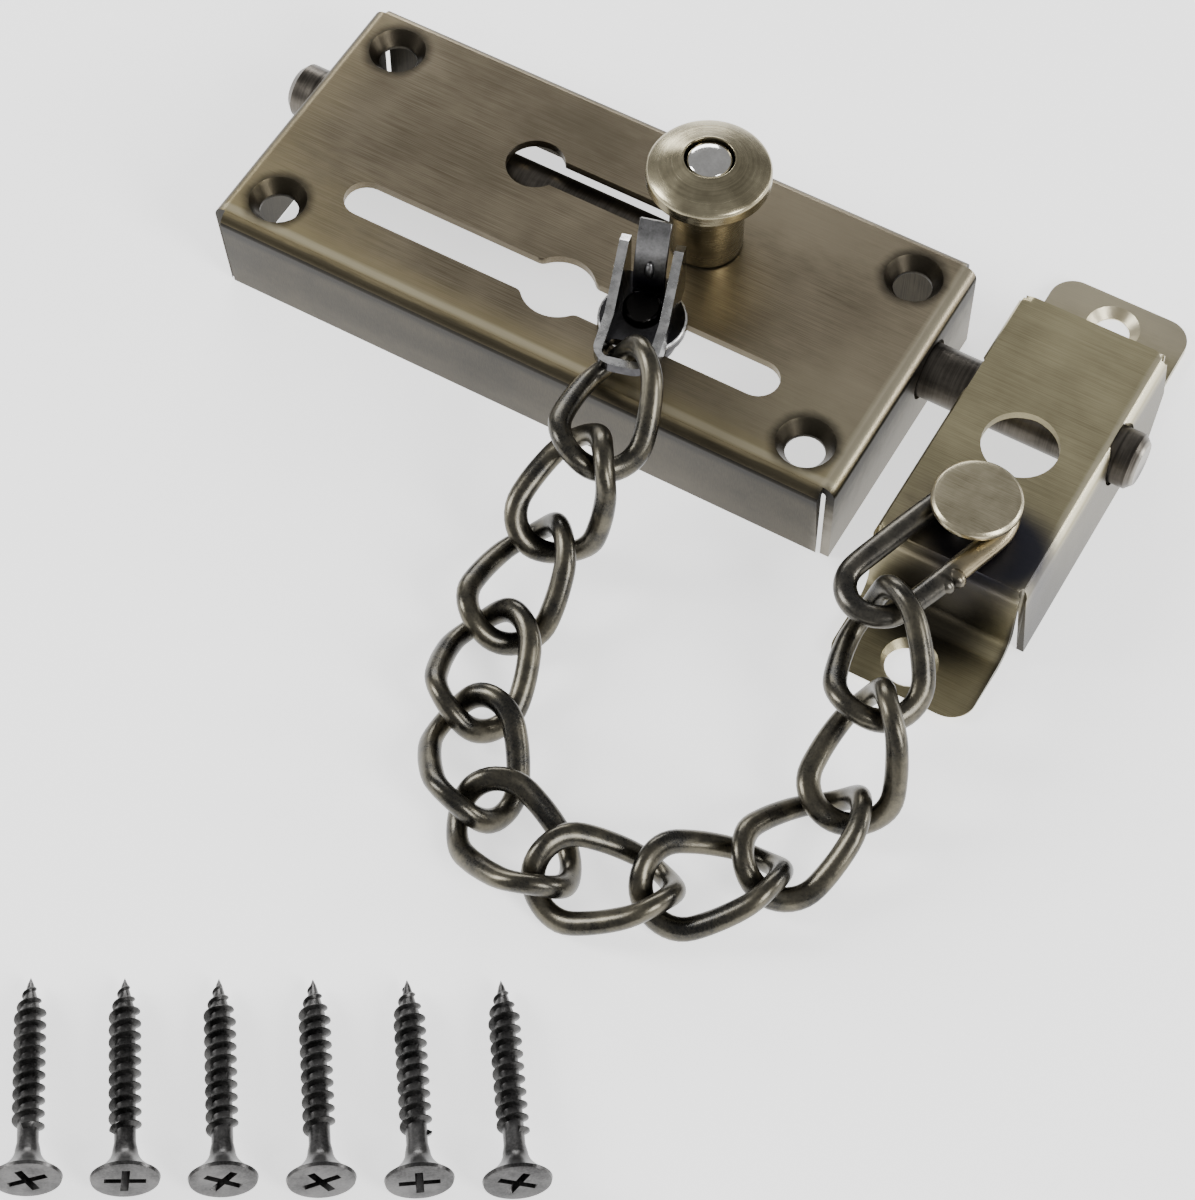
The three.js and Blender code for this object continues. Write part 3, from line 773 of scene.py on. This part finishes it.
@dataclass
class Ring:
    """The oval ring on the stud.

    Attributes:
        yaw: Its turn about the stud, in degrees.
        place: The middle of the ring.
    """

    yaw: float = -18.8
    place: Place = (61.0, -13.8, 14.15)

    def build(self) -> None:
        """Builds the ring where its CAD node is."""
        mesh = from_node("stud_ring")
        bmesh.ops.join_triangles(mesh, faces=mesh.faces, angle_face_threshold=math.pi,
                                 angle_shape_threshold=math.pi)
        back = Matrix.Rotation(-math.radians(self.yaw), 3, "Z")
        for vert in mesh.verts:
            local = back @ (vert.co - Vector(self.place))
            if local.x > 2.6 and -12 < local.y < -1:
                share = math.sin(math.pi * (-1 - local.y) / 11) ** 0.6
                local.x += (local.x - 2.6) * 0.3 * share
                local.z *= 1 - 0.2 * share
                vert.co = Vector(self.place) + back.transposed() @ local
        ring = add_piece("ring_wire", mesh, smooth=75.0)
        add_subdivision(ring, 2)
        x, y, z = self.place
        finish = Metal(
            "ring_steel", (0.034, 0.034, 0.034), (0.13, 0.12, 0.10), Grain.SATIN, (0, 0, 0), 0.3, 0.14,
            (0.10, 1.0), 0.25, 0.012, 4.5,
            patches=(
                Patch((x + 3.8, y - 3.6, z), (4.6, 8.2, 6.0), (0.36, 0.30, 0.19), 0.85, 0.55, 0.25),
                # Painted shade in the crease of the flattened strand.
                Patch((x + 2.4, y - 10.6, z + 1), (3.4, 0.5, 3.0), PAINTED_SHADE_BLACK, 0.6, 0.3, 0.4,
                      grain=(1, 1, 1)),
            ),
        )
        metal = finish.material()
        dress(ring, metal, "ring", "gunmetal", "stud_ring")
        welds = ((Vector((5.0, -8.3, 0.15)), 1.42), (Vector((4.8, -9.9, 0.1)), 1.36))
        for number, (local, size) in enumerate(welds):
            blob = bmesh.new()
            bmesh.ops.create_icosphere(blob, subdivisions=4, radius=size)
            bmesh.ops.scale(blob, vec=(1.05, 0.8, 0.86), verts=blob.verts)
            place = Matrix.Translation(Vector(self.place)) @ Matrix.Rotation(math.radians(self.yaw), 4, "Z")
            weld = add_piece(f"ring_weld_{number}", blob, place @ Matrix.Translation(local), 75.0)
            dress(weld, metal, "ring", "gunmetal")


def add_subdivision(piece: bpy.types.Object, levels: int) -> None:
    """Smooths a piece with a subdivision modifier, alike in view and render."""
    modifier = piece.modifiers.new("smooth", "SUBSURF")
    modifier.levels = levels
    modifier.render_levels = levels


@dataclass
class StrikePlate:
    """The strike plate with its round window, its ears and its headed stud."""

    edge: float = 0.14

    def finish(self) -> bpy.types.Material:
        """Lighter brushed bronze, blued around the stud, with a painted highlight along the right bend and
        painted shade over the right wall, darkest towards its front foot.
        """
        top, bend, front = 12.4, 70.4, -20.0
        return Metal(
            "bronze_strike", (0.25, 0.22, 0.135), (0.48, 0.43, 0.27), Grain.ALONG_X, (61, 0, 0), 0.36, 0.12,
            (0.11, 9.0), 0.45, 0.012, 18.0,
            patches=(
                # Painted shade over the right wall, darkest towards its front foot.
                Patch((bend + 1.4, 0, 4.4), (1.9, ENDLESS, 7), (0.115, 0.105, 0.085),
                      0.92, 0.6, 0.15, grain=(1, 14, 4)),
                Patch((bend + 1.4, front, 1), (2.8, 24, 11), (0.03, 0.028, 0.025),
                      0.9, 0.1, 0.2, grain=(1, 9, 4)),
                # Painted highlight along the right bend.
                Patch((bend + 0.3, 0, top - 0.6), (1.2, ENDLESS, 1.3), CREAM_HIGHLIGHT,
                      0.75, 0.3, 0.3, grain=(0.6, 9, 1)),
                Patch((62, front + 3.5, top), (14, 11, 12), (0.15, 0.125, 0.095), 0.75, 0.3, 0.25),
                Patch((64.5, front + 4.2, top), (11, 8.5, 12), HEAT_BLUE, 0.95, 0.5, 0.12, grain=(9, 9, 9)),
                Patch((61, front - 4.0, 6), (12, 6.6, 9), (0.026, 0.023, 0.019),
                      0.94, 0.55, 0.06, grain=(9, 9, 9)),
                Patch((61, 33, 0), (ENDLESS, 8, 4), (0.62, 0.56, 0.42), 0.7, 0.3, 0.3),
            ),
        ).material()

    def build(self) -> None:
        """Builds and dresses the plate and its stud."""
        finish = self.finish()
        mesh = from_node("keeper")
        soften(mesh, self.edge)
        dress(even_normals(add_piece("strike_shell", mesh)), finish, "root", "bronze_keeper", "keeper")
        stud = [(0.0, 10.4), (2.15, 10.4), (2.15, 16.2), (4.9, 16.25), (5.6, 16.7), (5.6, 17.45),
                (5.2, 17.82), (4.6, 17.9), (0.0, 17.9)]
        place = Matrix.Translation((61, -13.8, 0))
        head = Metal("stud_bronze", (0.30, 0.265, 0.175), (0.60, 0.54, 0.39), Grain.ALONG_X, (61, -13.8, 0),
                     0.3, 0.1, (0.1, 5.0), 0.5, 0.012, 6.0)
        dress(add_piece("stud_head", lathe(stud, 72, 0.08), place), head.material(), "root", "bronze_keeper",
              "keeper_stud")


@dataclass
class Slider:
    """The chain slider: its headed foot, folded bracket and spring tongue."""

    edge: float = 0.12
    pivot: Place = (12.2, -8.95, 0.0)
    yaw: float = 15.0

    def is_sheared(self, face: bmesh.types.BMFace) -> bool:
        """Whether a face of the bracket is its sheet's cut edge."""
        turn = Matrix.Rotation(-math.radians(self.yaw), 3, "Z")
        normal, centre = turn @ face.normal, face.calc_center_median()
        return abs(normal.x) < 0.5 and centre.z > 19.3

    def build(self) -> None:
        """Builds and dresses the three pieces."""
        x, y, _ = self.pivot
        # The black patch at the middle is painted shade in the bracket's hollow over the foot.
        dark = Metal("black_nickel", (0.022, 0.022, 0.025), (0.09, 0.088, 0.092), Grain.SATIN, (0, 0, 0),
                     0.2, 0.1, (0.12, 1.0), 0.3, 0.01, 4.0,
                     patches=(Patch((x, y, 19), (3.4, 6, 3.6), PAINTED_SHADE_BLACK, 0.9, 0.6, 0.2),)).material()
        # A bright material for the bracket's cut edges and the foot's rim: bare metal of the cut sheet and a
        # painted highlight.
        cut_edge_and_highlight = Metal("sheared_edge_and_highlight", (0.34, 0.34, 0.34), (0.66, 0.655, 0.65), Grain.SATIN, (0, 0, 0),
                       0.28, 0.14, (0.2, 1.0), 0.25, 0.02, 2.2).material()
        mesh = from_node("slider_bracket")
        soften(mesh, self.edge)
        mesh.normal_update()
        number_faces(mesh, 1, self.is_sheared)
        dress(even_normals(add_piece("bracket_sheet", mesh)), [dark, cut_edge_and_highlight], "bracket", "black_nickel",
              "slider_bracket")
        mesh = from_node("slider_stud")
        soften(mesh, self.edge)
        mesh.normal_update()
        # The foot's rim takes the bright material as a painted highlight.
        number_faces(mesh, 1, lambda f: 15.5 < f.calc_center_median().z < 15.99 and abs(f.normal.z) < 0.95)
        foot = even_normals(add_piece("slider_foot", mesh))
        dress(foot, [dark, cut_edge_and_highlight], "slider", "black_nickel", "slider_stud")
        mesh = from_node("slider_tongue")
        soften(mesh, self.edge)
        satin = Metal(
            "spring_strip", (0.13, 0.128, 0.13), (0.32, 0.318, 0.32), Grain.SATIN, (0, 0, 0), 0.3, 0.1,
            (0.12, 1.0), 0.3, 0.01, 3.0,
            patches=(
                Patch((x - 1, y + 4, 18.9), (4, 4, 1.9), (0.06, 0.045, 0.13), 0.7, 0.2, 0.3),
                # Painted shade at the tongue's foot under the bracket.
                Patch((x - 1, y + 4, 17.2), (4, 4, 1.3), PAINTED_SHADE_BLACK, 0.9, 0.4, 0.2),
            ),
        ).material()
        dress(even_normals(add_piece("tongue_strip", mesh)), satin, "tongue", "spring_strip", "slider_tongue")
        dimple = bmesh.new()
        bmesh.ops.create_uvsphere(dimple, u_segments=32, v_segments=16, radius=1.0)
        place = (Matrix.Translation((x, y, 0)) @ Matrix.Rotation(math.radians(self.yaw), 4, "Z")
                 @ Matrix.Translation((0, 3.02, 21.3)) @ Matrix.Rotation(math.radians(-12), 4, "X")
                 @ Matrix.Diagonal((0.65, 0.34, 1.3, 1)))
        dress(add_piece("tongue_dimple", dimple, place, 75.0), satin, "tongue", "spring_strip")


@dataclass
class Screw:
    """A countersunk wood screw, made along +Z from its tip.

    Attributes:
        length: Its length over all.
        core: The radius of its core.
        crest: The radius over its thread.
        head: The radius of its head.
        pitch: The thread's pitch.
        turns: The thread's turns.
        steps: Faces to one turn.
    """

    length: float = 26.0
    core: float = 1.22
    crest: float = 1.85
    head: float = 3.9
    pitch: float = 1.62
    turns: float = 11.5
    steps: int = 26

    def shank(self) -> bmesh.types.BMesh:
        """The screw without its thread, with a cross recess in its head."""
        cone, top = self.length - 4.1, self.length
        foot, spread = self.core + 0.2, self.head - self.core - 0.4
        flare = [(foot + spread * t ** 1.9, cone + 0.4 + 3.1 * t) for t in span(10)]
        profile = [(0.0, 0.0), (0.35, 0.9), (self.core, 4.6), (self.core, cone - 0.6), *flare,
                   (self.head, top - 0.45), (self.head - 0.12, top - 0.06), (self.head - 0.35, top)]
        mesh = lathe(profile, 48)
        rim = [edge for edge in mesh.edges if edge.is_boundary]
        arm, half = 2.3, 0.45
        quarter = [(arm, -half), (arm, half), (half, half)]
        corners = [Matrix.Rotation(turn * math.pi / 2, 2) @ Vector(corner)
                   for turn in range(4) for corner in quarter]
        points = [mesh.verts.new((*corner, top)) for corner in corners]
        cross = [mesh.edges.new(pair) for pair in zip(points, points[1:] + points[:1])]
        bmesh.ops.bridge_loops(mesh, edges=rim + cross)
        sunk = bmesh.ops.extrude_edge_only(mesh, edges=cross)["geom"]
        floor = [g for g in sunk if isinstance(g, bmesh.types.BMVert)]
        bmesh.ops.translate(mesh, verts=floor, vec=(0, 0, -2.0))
        bmesh.ops.scale(mesh, verts=floor, vec=(0.45, 0.45, 1.0))
        last = [g for g in sunk if isinstance(g, bmesh.types.BMEdge) and g.is_boundary]
        bmesh.ops.contextual_create(mesh, geom=last)
        return tidy(mesh)

    def thread(self) -> bmesh.types.BMesh:
        """The thread, a closed V swept along a helix and thinned towards the tip."""
        mesh = bmesh.new()
        foot, half, tip = self.core - 0.12, self.pitch * 0.27, 0.07
        corners = [(foot, -half), (self.crest, -tip), (self.crest, tip), (foot, half)]
        verts = [mesh.verts.new((radius, 0.0, height + 1.2)) for radius, height in corners]
        face = mesh.faces.new(verts)
        geometry = [face, *face.edges, *verts]
        bmesh.ops.spin(mesh, geom=geometry, cent=(0, 0, 0), axis=(0, 0, 1), angle=math.tau * self.turns,
                       steps=int(self.steps * self.turns), dvec=(0, 0, self.pitch / self.steps),
                       use_merge=False)
        for vert in mesh.verts:
            radius = math.hypot(vert.co.x, vert.co.y)
            room = min(1.0, 0.16 + 0.84 * max(0.0, vert.co.z - 0.4) / 4.4)
            run_out = min(1.0, max(0.0, (21.2 - vert.co.z) / 1.6))
            wanted = max(0.05, min(radius * room, self.core - 0.15 + (radius - self.core + 0.15) * run_out))
            vert.co.x *= wanted / radius
            vert.co.y *= wanted / radius
        return tidy(mesh)

    def build(self, number: int, place: Matrix, material: bpy.types.Material,
              thread_material: bpy.types.Material) -> None:
        """Builds one screw.

        Args:
            number: Its number in the row.
            place: Its place, in millimetres.
            material: Its finish.
            thread_material: Its thread's material, a darker copy of the screw steel as painted shade in the
                thread.
        """
        shank = add_piece(f"screw_{number}_body", self.shank(), place, 40.0)
        dress(shank, material, "root", "grey_screw", f"screw_{number}")
        thread = add_piece(f"screw_{number}_thread", self.thread(), place, 40.0)
        dress(thread, thread_material, "root", "grey_screw")


@dataclass
class ScrewRow:
    """The six loose screws, lying on thread and head.

    Attributes:
        count: How many there are.
        first: The first screw's tip.
        step: The way from one to the next.
        heading: The way they point, in degrees.
        lift: The gap under them.
    """

    count: int = 6
    first: tuple[float, float] = (-7.4, -117.0)
    step: tuple[float, float] = (9.4, 5.3)
    heading: float = -55.0
    lift: float = 0.06

    def place(self, index: int) -> Matrix:
        """One screw's place.

        Args:
            index: Its place in the row, from 0.

        Returns:
            The matrix from the screw's own frame, in millimetres.
        """
        thread, head, length, tip = 1.85, 3.9, 26.0, 4.5
        lean = math.atan2(head - thread, length - 0.5 - tip)
        height = thread / math.cos(lean) - tip * math.sin(lean) + self.lift
        turn = Matrix.Rotation(math.radians(self.heading), 4, "Z")
        turn = turn @ Matrix.Rotation(math.pi / 2 - lean, 4, "Y")
        x, y = (start + index * move for start, move in zip(self.first, self.step))
        return Matrix.Translation((x, y, height)) @ turn @ Matrix.Rotation(1.1 * index + 0.3, 4, "Z")

    def build(self) -> None:
        """Builds the row."""
        finish = Metal("screw_steel", (0.030, 0.029, 0.029), (0.145, 0.142, 0.14), Grain.SATIN, (0, 0, 0),
                       0.33, 0.12, (0.10, 1.0), 0.3, 0.01, 5.0).material()
        # The thread takes a darker copy of the screw steel, painted shade between its turns.
        thread = Metal("thread_steel_shaded", (0.014, 0.014, 0.014), (0.085, 0.083, 0.081), Grain.SATIN, (0, 0, 0),
                       0.33, 0.12, (0.10, 1.0), 0.3, 0.01, 3.0).material()
        for index in range(self.count):
            Screw().build(index + 1, self.place(index), finish, thread)


# ------------------------------------------------------------------ studio
@dataclass
class Studio:
    """Floor, lights, sky and camera.

    Attributes:
        target: Where the camera looks, in millimetres.
        azimuth: The camera's turn about the object, in degrees.
        elevation: Its height over the floor, in degrees.
        distance: Its distance, in millimetres.
        lens: Its focal length on a 36 mm sensor.
        floor_glow: The light the floor gives of its own.
        sky: The strength of the even light all round.
    """

    target: Place = (23.146, -39.372, 0.0)
    azimuth: float = 29.774
    elevation: float = 57.748
    distance: float = 399.42
    lens: float = 96.73
    floor_glow: float = 1.3
    sky: float = 0.4

    def add_camera(self) -> None:
        """Adds the camera."""
        data = bpy.data.cameras.new("camera")
        data.lens = self.lens
        data.clip_start = 0.01
        camera = bpy.data.objects.new("camera", data)
        turn, rise = math.radians(self.azimuth), math.radians(self.elevation)
        back = Vector((math.sin(turn) * math.cos(rise), -math.cos(turn) * math.cos(rise), math.sin(rise)))
        camera.location = (Vector(self.target) + back * self.distance) * MM
        camera.rotation_mode = "QUATERNION"
        camera.rotation_quaternion = (-back).to_track_quat("-Z", "Y")
        bpy.context.scene.collection.objects.link(camera)
        bpy.context.scene.camera = camera

    def add_light(self, name: str, place: Place, size: tuple[float, float], power: float) -> None:
        """Adds a soft box that shines on the middle of the object.

        Args:
            name: Its name.
            place: Its place, in metres.
            size: Its width and height, in metres.
            power: Its power, in watts.
        """
        data = bpy.data.lights.new(name, "AREA")
        data.shape = "RECTANGLE"
        data.size, data.size_y = size
        data.energy = power
        lamp = bpy.data.objects.new(name, data)
        lamp.location = place
        lamp.rotation_mode = "QUATERNION"
        lamp.rotation_quaternion = (Vector((0.02, -0.04, 0)) - Vector(place)).to_track_quat("-Z", "Y")
        bpy.context.scene.collection.objects.link(lamp)

    def add_floor(self) -> None:
        """Adds the pale floor."""
        mesh = bmesh.new()
        bmesh.ops.create_grid(mesh, x_segments=1, y_segments=1, size=1500.0)
        floor = add_piece("floor", mesh, Matrix.Translation((20, -40, -0.05)))
        shader = Shader("pale_floor")
        white = (1.0, 1.0, 1.0, 1.0)
        floor.data.materials.append(shader.finish(Base_Color=(0.9, 0.9, 0.9, 1.0), Roughness=0.9,
                                                  Emission_Color=white, Emission_Strength=self.floor_glow))

    def build(self) -> None:
        """Builds the studio."""
        self.add_camera()
        self.add_floor()
        self.add_light("left", (-0.75, -0.35, 0.5), (0.3, 0.5), 7.0)
        self.add_light("right", (0.8, -0.25, 0.5), (0.3, 0.5), 7.0)
        self.add_light("behind", (-0.5, 0.7, 0.35), (0.6, 0.25), 4.0)
        self.add_light("rim", (0.78, 0.42, 0.26), (0.35, 0.16), 3.0)
        world = bpy.data.worlds.new("sky")
        world.use_nodes = True
        world.node_tree.nodes["Background"].inputs["Color"].default_value = (1.0, 1.0, 1.0, 1.0)
        world.node_tree.nodes["Background"].inputs["Strength"].default_value = self.sky
        bpy.context.scene.world = world


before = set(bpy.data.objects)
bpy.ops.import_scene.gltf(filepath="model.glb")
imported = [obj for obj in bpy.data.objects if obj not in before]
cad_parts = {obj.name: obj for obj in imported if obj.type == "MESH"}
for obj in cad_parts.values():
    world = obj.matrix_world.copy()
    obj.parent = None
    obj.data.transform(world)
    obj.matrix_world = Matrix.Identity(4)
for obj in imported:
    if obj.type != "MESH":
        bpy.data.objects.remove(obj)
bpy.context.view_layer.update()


def main() -> None:
    """Builds the studio, then every sub-assembly."""
    logging.basicConfig(level=logging.INFO, format="%(name)s: %(message)s")
    Studio().build()
    Case().build()
    bolt = Bolt()
    bolt.build_rod()
    bolt.build_knob()
    StrikePlate().build()
    Slider().build()
    Chain().build()
    Ring().build()
    ScrewRow().build()


if __name__ == "__main__":
    main()
